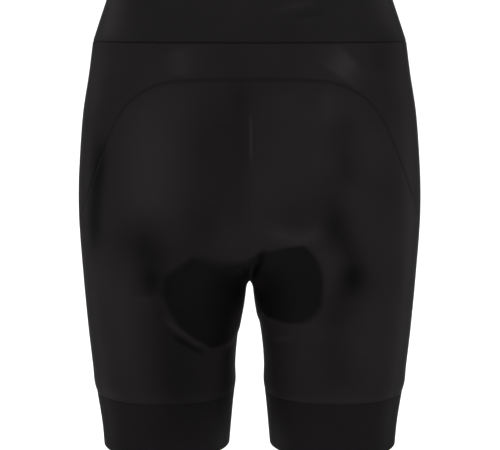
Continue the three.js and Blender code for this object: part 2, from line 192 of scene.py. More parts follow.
def outside(x, y, height, at=None):
    """Below 0 inside the cloth: hips and legs mixed by the fork's share, less each form's bell curve"""
    at = at or section(height)
    hips = outside_oval(x, y, at["hip"], HIP_SQUARENESS)
    sideways = np.sqrt(x * x + CROTCH_SOFTNESS**2) - at["middle"]
    legs = outside_oval(sideways, y, at["leg"], LEG_SQUARENESS)
    value = lerp(legs, hips, at["share"])
    for side, form_x, form_height, rise, spread_x, spread_z in SOFT_FORMS:
        facing_it = smooth(0.5 + side * y / FORM_FADE)
        away = ((np.abs(x) - form_x) / spread_x)**2 + ((height - form_height) / spread_z)**2
        value = value - rise * facing_it * np.exp(-away / 2)
    return value


def unit(vectors):
    """v / |v|"""
    return vectors / np.maximum(np.linalg.norm(vectors, axis=-1, keepdims=True), 1e-12)


def slope(points):
    """The distance's rise along x, y and z, from points 0.05 mm to each side"""
    near = 0.05
    x, y, z = np.moveaxis(points, -1, 0)
    at = section(z)
    along_x = outside(x + near, y, z, at) - outside(x - near, y, z, at)
    along_y = outside(x, y + near, z, at) - outside(x, y - near, z, at)
    along_z = outside(x, y, z + near) - outside(x, y, z - near)
    return np.stack([along_x, along_y, along_z], -1) / (2 * near)


def facing(points):
    """The way that the cloth faces: the slope as a unit vector"""
    return unit(slope(points))


def find_crotch():
    """The height at which the centre line leaves the cloth"""
    zero = np.zeros(1)
    return float(search(zero + FORK_TOP, zero + LEG_SEAM, lambda z: outside(zero, zero, z) < 0)[0])


CROTCH = find_crotch()
print("The legs part at", round(CROTCH, 1), "mm")


# %% [markdown]
# ## Finding places on the cloth
#
# A place is given as "around" and a height. Around is −1 at the centre front, 0 at the outer side
# and 1 at the centre back or, on the leg, −1 and 1 are both the inseam. The panels and the seams
# are drawn in these two numbers, as a pattern cutter draws them flat, and then placed on the form.

# %% Places
def centre_seam(height, side):
    """The y at which the centre plane meets the cloth: side is 1 for the back and −1 for the front"""
    at = section(height)
    zero = np.zeros_like(height)
    reach = search(zero, zero + HALF_GIRTH, lambda y: outside(zero, side * y, height, at) < 0)
    return np.where(height > CROTCH, side * reach, 0.0)


def place(around, height):
    """The point where a ray from the section's axis, turned by `around`, meets the cloth"""
    around, height = np.broadcast_arrays(np.asarray(around, float), np.asarray(height, float))
    at = section(height)
    side = np.where(around < 0, -1.0, 1.0)
    axis = lerp(at["middle"], HIP_AXIS, smooth((height - AXIS_BOTTOM) / (AXIS_TOP - AXIS_BOTTOM)))
    seam = np.abs(centre_seam(height, side))
    furthest = np.where(height > CROTCH, np.arctan2(seam, -axis), np.pi)
    angle = around * HIP_TURN + side * (furthest - HIP_TURN) * np.abs(around)**TURN_POWER
    ahead = np.cos(angle)
    to_centre = -axis / np.minimum(ahead, -1e-9)
    reach = np.where(ahead < -1e-9, np.minimum(HALF_GIRTH, to_centre), HALF_GIRTH)

    def is_inside(radius):
        return outside(axis + radius * ahead, radius * np.sin(angle), height, at) < 0

    radius = search(np.zeros_like(height), reach, is_inside)
    x = np.where((np.abs(around) == 1) & (height >= CROTCH), 0.0, axis + radius * ahead)
    return np.stack([x, radius * np.sin(angle), height], -1)


def by_length(points, shares):
    """Points at shares of a line's whole length, between rows of a finer line"""
    steps = np.linalg.norm(np.diff(points, axis=0), axis=1)
    length = np.append(0, np.cumsum(steps))
    return np.stack([np.interp(shares * length[-1], length, column) for column in points.T], -1)


def centre_heights(top, side, shares):
    """Heights spaced by length down the centre seam from the top to the crotch"""
    heights = CROTCH + (top - CROTCH) * np.linspace(1, 0, 1200)**2
    line = np.stack([heights, centre_seam(heights, side)], -1)
    return by_length(line, shares)[:, 0]


def catmull_rom(rows, per_step):
    """Each step between rows as ½(2b + (c−a)t + (2a−5b+4c−d)t² + (3b−a−3c+d)t³)"""
    padded = np.vstack([rows[:1], rows, rows[-1:]])
    a, b, c, d = padded[:-3, None], padded[1:-2, None], padded[2:-1, None], padded[3:, None]
    t = np.linspace(0, 1, per_step, endpoint=False)[None, :, None]
    curve = 2 * b + (c - a) * t + (2 * a - 5 * b + 4 * c - d) * t**2 + (3 * b - a - 3 * c + d) * t**3
    return np.vstack([curve.reshape(-1, rows.shape[1]) / 2, rows[-1:]])


ARCH_LINE = catmull_rom(ARCH_SEAM * (HALF_GIRTH, 1), 60) / (HALF_GIRTH, 1)
ARCH_CORNER = int(np.argmax(ARCH_LINE[:, 0] >= ARCH_SHOULDER))


def on_arch(part, shares):
    """Places on one part of the arched seam, at shares of its length"""
    return by_length(part * (HALF_GIRTH, 1), shares) / (HALF_GIRTH, 1)


def side_front(heights):
    """How far round the side-front seam lies: where x is a fixed share of the side's x"""
    target = FRONT_SEAM_SHARE * place(np.zeros_like(heights), heights)[:, 0]
    start = np.full_like(heights, -FRONT_SEAM_SHARE)
    return search(start, np.zeros_like(heights), lambda around: place(around, heights)[:, 0] < target)


SIDE_HEIGHTS = np.linspace(WAIST_SEAM, LEG_SEAM, 160)
SIDE_AROUND = side_front(SIDE_HEIGHTS)
WAIST_CORNER = SIDE_AROUND[0]
SIDE_FOOT = ARCH_LINE[0, 0]
print("The side-front seam runs from", round(WAIST_CORNER, 3), "to", round(SIDE_AROUND[-1], 3))


# %% [markdown]
# ## Panels as grids of places
#
# A sewn edge turns down into its seam within two or three millimetres, so the stations lie closer
# together there. Each panel's four edges are blended into a grid.

# %% Panel grids
NEAR_A_SEAM = np.array([0.0, 0.12, 0.35, 0.7, 1.15, 1.7, 2.4, 3.3])
FRONT_RISE_SHARE = 0.7  # of the rows lie on the centre seam, and the others on the inseam
BACK_RISE_SHARE = 0.68


def stations(length, step):
    """Shares of a length: fine ones near both ends and even steps in between"""
    inner = np.arange(1, max(2, round((length - 2 * NEAR_A_SEAM[-1]) / step)))
    even = lerp(NEAR_A_SEAM[-1], length - NEAR_A_SEAM[-1], inner / (inner[-1] + 1))
    return np.concatenate([NEAR_A_SEAM, even, length - NEAR_A_SEAM[::-1]]) / length


def centre_and_inseam(top, side, rows, rise_share):
    """Heights down the centre seam for a first share of the rows, and then down the inseam"""
    rise = centre_heights(top, side, np.clip(rows / rise_share, 0, 1))
    inseam = lerp(CROTCH, LEG_SEAM, (rows - rise_share) / (1 - rise_share))
    return np.where(rows < rise_share, rise, inseam)[:, None]


def front_places(rows, columns):
    """Around runs from −1 to the side seam; heights mix the side's and the centre's by (1 − u)²"""
    v, u = rows[:, None], columns[None, :]
    centre = centre_and_inseam(WAIST_SEAM, -1, rows, FRONT_RISE_SHARE)
    side = lerp(WAIST_SEAM, LEG_SEAM, v)
    side_around = np.interp(-side, -SIDE_HEIGHTS, SIDE_AROUND)
    around = lerp(-1, side_around, u)
    return around, lerp(side, centre, (1 - u)**2)


def back_places(rows, columns):
    """A Coons blend of the arch's top and side, the centre-back seam with the inseam, and the foot"""
    v, u = rows[:, None], columns[None, :]
    top = on_arch(ARCH_LINE[ARCH_CORNER:], columns)[None, :]
    side = on_arch(ARCH_LINE[:ARCH_CORNER + 1][::-1], rows)[:, None]
    centre = centre_and_inseam(ARCH_SEAM[-1, 1], 1, rows, BACK_RISE_SHARE)
    foot = lerp(SIDE_FOOT, 1.0, u)
    around = lerp(top[..., 0], foot, v) + lerp(side[..., 0], 1.0, u)
    around = around - lerp(lerp(top[0, 0, 0], 1.0, u), lerp(SIDE_FOOT, 1.0, u), v)
    height = lerp(top[..., 1], LEG_SEAM, v) + lerp(side[..., 1], centre, u)
    height = height - lerp(lerp(top[0, 0, 1], centre[0, 0], u), LEG_SEAM, v)
    around = np.where(u == 1, 1.0, np.minimum(around, 1.0))
    return around, height


def yoke_places(side_rows, waist_rows, columns):
    """Straight lines from the outer edge (side-front seam, then waist seam) to the arched seam"""
    up = 1 - side_rows[::-1]
    side_heights = lerp(LEG_SEAM, WAIST_SEAM, up)
    side_around = np.interp(-side_heights, -SIDE_HEIGHTS, SIDE_AROUND)
    across = waist_rows[1:]
    outer_around = np.append(side_around, lerp(WAIST_CORNER, 1.0, across))
    outer_height = np.append(side_heights, np.full(len(across), WAIST_SEAM))
    lower = on_arch(ARCH_LINE[:ARCH_CORNER + 1], up)
    upper = on_arch(ARCH_LINE[ARCH_CORNER:], across)
    inner = np.vstack([lower, upper])
    u = columns[None, :]
    around = lerp(outer_around[:, None], inner[:, :1], u)
    height = lerp(outer_height[:, None], inner[:, 1:], u)
    return around, height


# %% [markdown]
# ## The pad's place
#
# The pad lies on the inside of the seat. It is drawn by its distance along the centre seam from the
# crotch, and its distance out from that seam, walked on the cloth. Where the pad presses through, the
# same two numbers are found back for each point of the cloth.

# %% Along and out on the seat
PAD_FRONT_END = -110.0
PAD_BACK_END = 88.0
PAD_WING_REACH = 26.0
PAD_DEPTH = 3.2  # below the cloth's outer face
PAD_THICKNESS = 9.0
PAD_EDGE_THICKNESS = 2.0
# Share of the length from the front, half the width there, and no corner
PAD_HALF_WIDTHS = np.array([
    (0, 16, 0), (0.06, 28, 0), (0.16, 38, 0), (0.35, 44, 0), (0.5, 50, 0), (0.62, 62, 0),
    (0.75, 82, 0), (0.85, 99, 0), (0.94, 94, 0), (1, 76, 0),
])
SEAM_CLIMB = 216.0  # how far above the crotch the centre seam is followed


def seam_line():
    """The centre seam from front to back as rows of along, y and z"""
    u = np.linspace(-1, 1, 1601)
    z = CROTCH + SEAM_CLIMB * u * u
    y = centre_seam(z, np.where(u < 0, -1.0, 1.0))
    along = np.append(0, np.cumsum(np.hypot(np.diff(y), np.diff(z))))
    return along - along[len(u) // 2], y, z


SEAM_ALONG, SEAM_Y, SEAM_Z = seam_line()


def on_seam(along):
    """The centre seam's point at a distance from the crotch"""
    y = np.interp(along, SEAM_ALONG, SEAM_Y)
    z = np.interp(along, SEAM_ALONG, SEAM_Z)
    return np.stack([np.zeros_like(y), y, z], -1)


def walk_out(along, distance, steps=30):
    """Steps out from the centre seam, in the plane square to it, back onto the cloth each time"""
    along, distance = np.broadcast_arrays(np.asarray(along, float), np.asarray(distance, float))
    run = unit(on_seam(along + 2) - on_seam(along - 2))
    point = on_seam(along)
    way = np.zeros_like(point)
    way[..., 0] = 1
    for _ in range(steps):
        point = point + way * (distance / steps)[..., None]
        climb = slope(point)
        climb = climb - (climb * run).sum(-1, keepdims=True) * run
        off = outside(*np.moveaxis(point, -1, 0))[..., None]
        point = point - off * climb / (climb * climb).sum(-1, keepdims=True)
        up = unit(climb)
        way = unit(way - (way * up).sum(-1, keepdims=True) * up)
    return point


MAP_ALONG = np.linspace(-130, 170, 76)
MAP_OUT = np.linspace(0, 150, 39)
MAP_POINTS = walk_out(MAP_ALONG[:, None], MAP_OUT[None, :])
MAP_REACH = 6.0  # the longest step from a map point
AT_ONCE = 4000


def along_and_out(points):
    """The nearest map point, then one linear step by the map's own slopes"""
    flat_map = MAP_POINTS.reshape(-1, 3)
    ahead = np.gradient(MAP_POINTS, MAP_ALONG, axis=0).reshape(-1, 3)
    outward = np.gradient(MAP_POINTS, MAP_OUT, axis=1).reshape(-1, 3)
    found = np.empty((len(points), 2))
    for start in range(0, len(points), AT_ONCE):
        part = points[start:start + AT_ONCE]
        away = (part**2).sum(1)[:, None] + (flat_map**2).sum(1) - 2 * part @ flat_map.T
        i = away.argmin(1)
        rest = part - flat_map[i]
        a, b = ahead[i], outward[i]
        aa, ab, bb = (a * a).sum(1), (a * b).sum(1), (b * b).sum(1)
        ra, rb = (rest * a).sum(1), (rest * b).sum(1)
        scale = np.maximum(aa * bb - ab * ab, 1e-9)
        step = np.stack([(bb * ra - ab * rb) / scale, (aa * rb - ab * ra) / scale], -1)
        at = np.stack([MAP_ALONG[i // len(MAP_OUT)], MAP_OUT[i % len(MAP_OUT)]], -1)
        found[start:start + AT_ONCE] = at + np.clip(step, -MAP_REACH, MAP_REACH)
    return found


print("The seat's map has", MAP_POINTS.shape[0] * MAP_POINTS.shape[1], "points")

# %% [markdown]
# ## Where the pad shows through
#
# The pad's outline shows on the inner thighs as a tighter patch with a stepped edge, darker where the
# pad backs the cloth and darker still by painted shade, as the inner thighs face away from the light. It
# isn't the same left and right, because the cloth has shifted over it.

# %% The patch's outline
# Along and out, and how softly the edge shows there, all in mm
PATCH_LEFT = (
    (88, 4, 10), (93, 19, 15), (101, 33, 17), (109, 45, 15), (113, 56, 10), (108, 66, 6),
    (101, 79, 7), (95, 89, 7), (87, 94, 6), (82, 96, 5), (74, 95, 4), (67, 95, 3), (60, 94, 3),
    (52, 91, 3), (44, 88, 3), (36, 80, 6), (24, 70, 8), (8, 58, 8), (-15, 50, 8), (-45, 42, 8),
    (-75, 36, 8), (-100, 20, 8),
)
PATCH_RIGHT = (
    (98, 4, 7), (108, 12, 4), (117, 23, 3), (124, 42, 2.4), (125, 54, 2.4), (118, 62, 4),
    (106, 71, 5), (97, 76, 5), (86, 81, 5), (79, 85, 5), (70, 84, 5), (62, 76, 4), (55, 67, 3),
    (44, 54, 3), (34, 47, 4), (25, 40, 6), (5, 42, 8), (-15, 44, 8), (-45, 42, 8),
    (-75, 36, 8), (-100, 20, 8),
)
PATCH_RISE = 1.3
STEP_SOFTNESS = 2.0  # the raised step is this much softer than the edge of the colour
PATCH_ZONE = 130.0  # no patch lies further above or below the crotch
LINE_STEPS = 8


def patch_outline():
    """One closed line of along, out and softness, with out below zero on the wearer's right"""
    left = np.array(PATCH_LEFT, float)
    right = np.array(PATCH_RIGHT, float)[::-1] * (1, -1, 1)
    ring = np.vstack([left, right, left[:1]])
    return catmull_rom(ring, LINE_STEPS)


OUTLINE = patch_outline()


def beyond_patch(at):
    """Distance to the outline's nearest segment, below zero inside it (a ray crosses an odd number)"""
    a, b = OUTLINE[:-1], OUTLINE[1:]
    run = b - a
    nearest = np.full(len(at), np.inf)
    softness = np.zeros(len(at))
    crossings = np.zeros(len(at), int)
    for (ax, ay, soft), (rx, ry, _), (_, by, _) in zip(a, run, b):
        px, py = at[:, 0] - ax, at[:, 1] - ay
        share = np.clip((px * rx + py * ry) / (rx * rx + ry * ry), 0, 1)
        away = np.hypot(px - share * rx, py - share * ry)
        softness = np.where(away < nearest, soft, softness)
        nearest = np.minimum(nearest, away)
        straddles = (ay > at[:, 1]) != (by > at[:, 1])
        reach = px < rx * py / (ry if ry else 1e-9)
        crossings += straddles & reach
    return np.where(crossings % 2 == 1, -nearest, nearest), softness


def patch(points):
    """How far the cloth is raised over the pad in mm, and how much of it is the darker patch, partly
    painted shade
    """
    shape = points.shape[:-1]
    flat = points.reshape(-1, 3)
    rise = np.zeros(len(flat))
    dark = np.zeros(len(flat))
    near = np.abs(flat[:, 2] - CROTCH) < PATCH_ZONE
    folded = flat[near]
    left = np.where(folded[:, 0] < 0, -1.0, 1.0)
    folded[:, 0] = np.abs(folded[:, 0])
    at = along_and_out(folded) * np.stack([np.ones_like(left), left], -1)
    beyond, softness = beyond_patch(at)
    step = smooth(0.5 - beyond / (softness + STEP_SOFTNESS))
    rise[near] = PATCH_RISE * step
    dark[near] = smooth(0.5 - beyond / softness)
    return rise.reshape(shape), dark.reshape(shape)


# %% [markdown]
# ## Creases
#
# The cloth is tight, so it has few creases, and those are soft. Each is a short line of places with a
# rise (a ridge) or a fall (a trough) and a width. Each also has a tone, painted light where it is above
# zero and painted shade below, and some have only a tone. They are uneven left and right.

# %% Crease table
LEFT, RIGHT = 1, -1
CREASES = (
    # side, rise and width in mm, tone (painted light above zero, painted shade below), then places
    # The waistband's fullness and two small creases
    (LEFT, 0.6, 20, 0.95, ((0.25, 40), (0.25, 10), (0.26, -14), (0.27, -38))),
    (RIGHT, 0.5, 17, 0.48, ((0.26, 36), (0.26, 8), (0.28, -28))),
    (RIGHT, 1.0, 3.5, 0.20, ((0.93, -4), (0.86, 2), (0.78, 6), (0.68, 9))),
    (RIGHT, -0.9, 3.0, -0.10, ((0.83, -7), (0.75, -3), (0.64, 0))),
    (LEFT, 0.8, 4.0, 0.10, ((-0.92, 12), (-0.8, 8), (-0.66, 10))),
    (RIGHT, -0.8, 4.0, -0.10, ((-0.88, -4), (-0.76, 2), (-0.6, 0))),
    # Fullness over the yoke
    (RIGHT, 2.5, 17, 0.66, ((0.62, -66), (0.58, -55), (0.52, -42))),
    (LEFT, 1.4, 13, 0.34, ((0.68, -34), (0.70, -49), (0.69, -66))),
    (RIGHT, -0.8, 9, -0.10, ((0.40, -38), (0.37, -50), (0.36, -62))),
    # The seat's halves
    (LEFT, 1.8, 34, 0.32,
     ((0.54, -60), (0.565, -93), (0.585, -126), (0.59, -161), (0.60, -195), (0.61, -235))),
    (RIGHT, 1.9, 9, 0.15, ((0.69, -74), (0.675, -92), (0.675, -116))),
    (RIGHT, 0.7, 16, 0.15, ((0.47, -110), (0.46, -140), (0.47, -170))),
    (RIGHT, -1.4, 15, -0.20, ((0.60, -95), (0.61, -135), (0.62, -180))),
    (LEFT, -0.9, 26, -0.20, ((0.87, -72), (0.87, -140), (0.87, -205), (0.86, -290))),
    (LEFT, 0.0, 11, -0.16, ((0.965, -50), (0.965, -120), (0.965, -230))),
    (RIGHT, 0.0, 28, 0.12, ((0.85, -75), (0.85, -130), (0.86, -200))),
    (RIGHT, 0.3, 1.2, 0.55, ((0.9955, -100), (0.9955, -120), (0.9955, -152))),
    # Troughs under the seat and the small ridge above the pad
    (LEFT, -1.4, 22, -0.44,
     ((0.615, -192), (0.64, -218), (0.655, -238), (0.667, -254), (0.66, -272), (0.64, -292))),
    (LEFT, -1.4, 10, -0.20, ((0.66, -250), (0.63, -285), (0.66, -310))),
    (RIGHT, -2.0, 13, -0.42,
     ((0.72, -150), (0.703, -196), (0.694, -221), (0.649, -244), (0.631, -269), (0.62, -290))),
    (RIGHT, -0.6, 20, -0.25, ((0.62, -245), (0.615, -274), (0.635, -297), (0.70, -322))),
    (RIGHT, 0.4, 6, 0.10, ((0.80, -228), (0.754, -240), (0.718, -261), (0.685, -278), (0.67, -290))),
    (RIGHT, 1.6, 9, 0.42,
     ((0.99, -214), (0.928, -217), (0.88, -221), (0.835, -222), (0.79, -217), (0.75, -212))),
    (RIGHT, -1.6, 3.2, -1.0,
     ((0.9995, -282), (0.996, -272), (0.987, -261), (0.976, -249), (0.967, -240), (0.955, -232))),
    # Painted shade at the crotch, with no crease
    (LEFT, 0.0, 7.0, -1.3, ((1.0, -256), (1.0, -274), (1.0, -296))),
    # Painted light on the inner thighs, which lie in shade between the legs
    (LEFT, 0.0, 15, 2.0, ((0.975, -268), (0.955, -286), (0.935, -300), (0.91, -322), (0.89, -352))),
    (RIGHT, 0.0, 13, 2.0, ((0.965, -262), (0.955, -276), (0.945, -290), (0.935, -303), (0.92, -318))),
    # The sides
    (LEFT, -1.4, 13, -0.72, ((0.32, -115), (0.33, -150), (0.335, -185), (0.335, -220), (0.33, -260))),
    (LEFT, 0.0, 16, 0.20, ((0.27, -34), (0.25, -70), (0.22, -110))),
    (RIGHT, 0.0, 17, 0.30, ((0.30, -100), (0.29, -150), (0.28, -200), (0.29, -260), (0.30, -330))),
    # The legs
    (LEFT, 1.8, 2.4, 0.40, ((0.645, -300), (0.68, -315), (0.718, -323), (0.762, -332), (0.81, -339))),
    (LEFT, -1.2, 2.4, -0.30, ((0.67, -322), (0.71, -331), (0.755, -340), (0.80, -345))),
    (RIGHT, 1.2, 2.2, 0.25, ((0.88, -337), (0.825, -331), (0.775, -328))),
    (LEFT, 1.4, 18, 0.22, ((0.44, -225), (0.47, -258), (0.49, -289), (0.50, -319), (0.50, -390))),
    (LEFT, -0.8, 22, -0.26, ((0.645, -280), (0.655, -325), (0.66, -359), (0.66, -450))),
    (LEFT, 0.0, 32, -0.30, ((0.76, -275), (0.75, -325), (0.745, -371), (0.745, -470))),
    (LEFT, 0.0, 18, -0.32, ((0.92, -318), (0.905, -340), (0.90, -365), (0.895, -390), (0.895, -450))),
    (RIGHT, -1.0, 18, -0.15, ((0.66, -318), (0.65, -350), (0.64, -385))),
    (RIGHT, 0.3, 2.4, 0.15, ((0.84, -391), (0.66, -391), (0.48, -391))),
    (LEFT, 0.4, 5.0, 0.15, ((0.28, -386), (0.40, -386), (0.50, -386))),
    # The hidden front: drag lines out from the crotch and across the thighs
    (LEFT, 1.2, 5, 0.10, ((-0.96, -238), (-0.84, -226), (-0.68, -219))),
    (LEFT, -1.0, 5, -0.15, ((-0.93, -256), (-0.80, -241), (-0.66, -235))),
    (RIGHT, 1.0, 6, 0.10, ((-0.95, -246), (-0.81, -230), (-0.70, -226))),
    (RIGHT, -0.9, 5, -0.15, ((-0.90, -228), (-0.78, -216), (-0.62, -210))),
    (LEFT, -1.4, 12, -0.15, ((-0.50, -120), (-0.62, -150), (-0.72, -190))),
    (RIGHT, 1.2, 14, 0.10, ((-0.55, -110), (-0.66, -140), (-0.74, -170))),
    (RIGHT, -1.4, 13, -0.20, ((-0.62, -280), (-0.56, -320), (-0.60, -365))),
    (LEFT, 1.2, 12, 0.10, ((-0.60, -275), (-0.54, -310), (-0.50, -350))),
)
FADE_AT_ENDS = 0.3
BELL_REACH = 3  # widths from its line, beyond which a crease isn't worked out


def crease_line(places):
    """A smooth line of points through a few places"""
    line = catmull_rom(np.array(places, float) * (HALF_GIRTH, 1), LINE_STEPS) / (HALF_GIRTH, 1)
    return place(line[:, 0], line[:, 1])


def creases(points):
    """Each crease adds rise, and tone for its painted light and shade, times exp(−(distance/width)²) ·
    fade, which ends at zero
    """
    total = np.zeros(points.shape[:-1])
    toned = np.zeros(points.shape[:-1])
    for side, rise, width, tone, places in CREASES:
        line = crease_line(places) * (side, 1, 1)
        reach = BELL_REACH * width
        near = ((points > line.min(0) - reach) & (points < line.max(0) + reach)).all(-1)
        if not near.any():
            continue
        part = points[near]
        nearest = np.full(len(part), np.inf)
        share = np.zeros(len(part))
        count = len(line) - 1
        for i in range(count):
            run = line[i + 1] - line[i]
            along = np.clip((part - line[i]) @ run / max(run @ run, 1e-9), 0, 1)
            away = np.linalg.norm(part - line[i] - along[:, None] * run, axis=1)
            closer = away < nearest
            share = np.where(closer, (i + along) / count, share)
            nearest = np.where(closer, away, nearest)
        fade = smooth(np.minimum(share, 1 - share) / FADE_AT_ENDS)
        bell = fade * np.exp(-(nearest / width)**2)
        total[near] += rise * bell
        toned[near] += tone * bell
    return total, toned


print("Creases placed by hand:", len(CREASES))


# %% [markdown]
# ## Shells
#
# A panel's shell has an outer and an inner face. Along a seam the outer face turns down by a part of
# the wall, so that two panels meet in a groove. Along a folded edge both faces round off together.

# %% Shells and meshes
# How deep and how wide an edge turns down into each kind of seam, and how dark and wide the shade
# painted along it is
WAIST = np.array((0.85, 2.3, 0.7, 1.9))
ARCH = np.array((0.65, 5.0, 0.4, 4.6))
CENTRE = np.array((0.25, 1.8, 0.1, 1.6))
SIDE = np.array((0.6, 3.0, 0.3, 2.4))
CUFF = np.array((0.3, 2.2, 0.2, 1.8))
SHARP_ANGLE = math.radians(50)


def edge_distances(points):
    """Lengths along the grid from its top, bottom, left and right edges"""
    down = np.linalg.norm(np.diff(points, axis=0), axis=-1)
    across = np.linalg.norm(np.diff(points, axis=1), axis=-1)
    from_top = np.vstack([np.zeros((1, points.shape[1])), np.cumsum(down, axis=0)])
    from_left = np.hstack([np.zeros((points.shape[0], 1)), np.cumsum(across, axis=1)])
    return {
        "top": from_top,
        "bottom": from_top[-1:] - from_top,
        "left": from_left,
        "right": from_left[:, -1:] - from_left,
    }


def turned_down(distance, width, depth):
    """A rounded shoulder: depth · (1 − √(1 − (1 − s)²)), with s the distance over the width"""
    s = np.clip(distance / width, 0, 1)
    return depth * (1 - np.sqrt(np.maximum(0, 1 - (1 - s)**2)))


def eased_down(distance, width, depth):
    """depth · (1 − s)², with s the distance over the width: a softer edge than a fold's"""
    return depth * (1 - np.clip(distance / width, 0, 1))**2


def make_mesh(name, points, quads, uv, attributes):
    """Millimetre points to a mesh in metres, with one UV pair for each face corner"""
    mesh = bpy.data.meshes.new(name)
    mesh.vertices.add(len(points))
    mesh.vertices.foreach_set("co", (points / 1000).astype(np.float32).ravel())
    mesh.loops.add(quads.size)
    mesh.loops.foreach_set("vertex_index", quads.astype(np.int32).ravel())
    mesh.polygons.add(len(quads))
    mesh.polygons.foreach_set("loop_start", np.arange(0, quads.size, 4, dtype=np.int32))
    mesh.polygons.foreach_set("use_smooth", np.ones(len(quads), bool))
    mesh.update(calc_edges=True)
    layer = mesh.uv_layers.new(name="grain")
    layer.data.foreach_set("uv", uv.astype(np.float32).ravel())
    for key, values in attributes.items():
        data = mesh.attributes.new(key, "FLOAT", "POINT").data
        data.foreach_set("value", values.astype(np.float32).ravel())
    mesh.set_sharp_from_angle(angle=SHARP_ANGLE)
    thing = bpy.data.objects.new(name, mesh)
    bpy.context.scene.collection.objects.link(thing)
    return thing


def grid_quads(rows, columns, wraps):
    """Corner indices of a grid's faces, and each corner's row and column for its UV"""
    steps = columns if wraps else columns - 1
    i, j = np.meshgrid(np.arange(rows - 1), np.arange(steps), indexing="ij")
    row = np.stack([i, i + 1, i + 1, i], -1).reshape(-1, 4)
    column = np.stack([j, j, j + 1, j + 1], -1).reshape(-1, 4)
    return row * columns + column % columns, row, column


def rim_quads(rows, columns, wraps):
    """Faces that join the outer layer to the inner one round the open edges"""
    count = rows * columns
    index = np.arange(count).reshape(rows, columns)
    ring = np.hstack([index, index[:, :1]]) if wraps else index
    edges = [(ring[0, :-1], ring[0, 1:]), (ring[-1, 1:], ring[-1, :-1])]
    if not wraps:
        edges += [(index[1:, 0], index[:-1, 0]), (index[:-1, -1], index[1:, -1])]
    return np.vstack([np.stack([a, b, b + count, a + count], -1) for a, b in edges])


def turned_out(layers, quads, uv):
    """Faces that enclose a volume above zero, by the sum of a · (b × c) + a · (c × d)"""
    a, b, c, d = (layers[quads[:, k]] for k in range(4))
    volume = (a * np.cross(b, c)).sum() + (a * np.cross(c, d)).sum()
    way = -1 if volume < 0 else 1
    return quads[:, ::way], uv[:, ::way]


def no_masks(shape):
    """A plain piece's masks: nothing pressed through, no shade painted in a groove and no crease tone"""
    return {key: np.zeros(shape) for key in ("over_pad", "painted_groove_shade", "painted_light_and_shade")}


def shell(name, points, normals, grain, outer_depth, inner_depth, attributes, wraps=False):
    """Two layers, point − normal · depth, joined round the open edges and turned to face out"""
    rows, columns = points.shape[:2]
    outer = points - normals * outer_depth[..., None]
    inner = points - normals * inner_depth[..., None]
    layers = np.vstack([outer.reshape(-1, 3), inner.reshape(-1, 3)])
    count = rows * columns
    top, row, column = grid_quads(rows, columns, wraps)
    rim = rim_quads(rows, columns, wraps)
    at = rim % count
    uv_top = grain[row, column]
    quads = np.vstack([top, top[:, ::-1] + count, rim])
    uv = np.vstack([uv_top, uv_top[:, ::-1], grain[at // columns, at % columns]])
    quads, uv = turned_out(layers, quads, uv)
    both = {key: np.concatenate([v.ravel(), np.zeros(v.size)]) for key, v in attributes.items()}
    thing = make_mesh(name, layers, quads, uv, both)
    print(name, 2 * len(quads), "triangles")
    return thing


def edge_shapes(distances, seams, folds, wall):
    """How far the seams and the folds turn down, and how much shade is painted into the grooves"""
    seam, fold, painted_groove_shade = np.zeros((3, *distances["top"].shape))
    for edge, (depth, roll, shadow, spread) in seams.items():
        seam = np.maximum(seam, eased_down(distances[edge], roll, depth))
        painted_groove_shade = np.maximum(painted_groove_shade, shadow * (1 - smooth(distances[edge] / spread)))
    for edge in folds:
        fold = np.maximum(fold, turned_down(distances[edge], wall / 2, wall / 2))
    return seam, fold, painted_groove_shade


def cloth_panel(name, around, height, left, wall, seams, folds=(), wraps=False, over_pad=False):
    """Places to a shell: relief moves both faces, and seams and folds shape the edges"""
    base = place(around, height)
    flip = np.ones((*np.shape(left), 3))
    flip[..., 0] = left
    normals = facing(base) * flip
    points = base * flip
    ring = np.hstack([points, points[:, :1]]) if wraps else points
    worn_width = np.linalg.norm(np.diff(ring, axis=1), axis=-1).sum(1).max()
    worn_length = np.linalg.norm(np.diff(ring, axis=0), axis=-1).sum(0).max()
    print(name, "is", round(worn_width), "mm round and", round(worn_length), "mm long as worn")
    distances = {key: value[:, :points.shape[1]] for key, value in edge_distances(ring).items()}
    seam, fold, painted_groove_shade = edge_shapes(distances, seams, folds, wall)
    relief, tone = creases(points)
    dark = np.zeros(points.shape[:2])
    if over_pad:
        rise, dark = patch(points)
        relief = relief + rise
    grain = np.stack([around * HALF_GIRTH, height], -1) / 1000
    if wraps:
        whole_turn = np.ptp(around) * HALF_GIRTH / 1000
        grain = np.hstack([grain, grain[:, :1] + (whole_turn, 0)])
    outer_depth = np.maximum(seam, fold) - relief
    inner_depth = wall - fold - relief
    # The masks carry the pad's darker patch (partly painted shade), the grooves' painted shade and the
    # creases' painted light and shade
    attributes = {"over_pad": dark, "painted_groove_shade": painted_groove_shade, "painted_light_and_shade": tone}
    return shell(name, points, normals, grain, outer_depth, inner_depth, attributes, wraps)


# %% [markdown]
# ## Materials
#
# The cloth is a smooth black stretch knit: a nearly black dye, a soft sheen from the fine filaments,
# and rows of loops too fine to see from a distance. The bands are knitted tighter and are more matt.
# Where the cloth turns away from the eye, the loops hide their own shine, so it reflects less there.

# %% Shader groups
def new_group(name, inputs, outputs):
    """An empty shader group with float inputs and outputs"""
    group = bpy.data.node_groups.new(name, "ShaderNodeTree")
    for label, value in inputs:
        socket = group.interface.new_socket(label, in_out="INPUT", socket_type="NodeSocketFloat")
        socket.default_value = value
    for label in outputs:
        group.interface.new_socket(label, in_out="OUTPUT", socket_type="NodeSocketFloat")
    return group, group.nodes.new("NodeGroupInput"), group.nodes.new("NodeGroupOutput")


def math_node(tree, operation, *values):
    """One sum in a shader: each value is a number or a socket"""
    node = tree.nodes.new("ShaderNodeMath")
    node.operation = operation
    for slot_in, value in zip(node.inputs, values):
        if isinstance(value, (int, float)):
            slot_in.default_value = value
        else:
            tree.links.new(value, slot_in)
    return node.outputs[0]


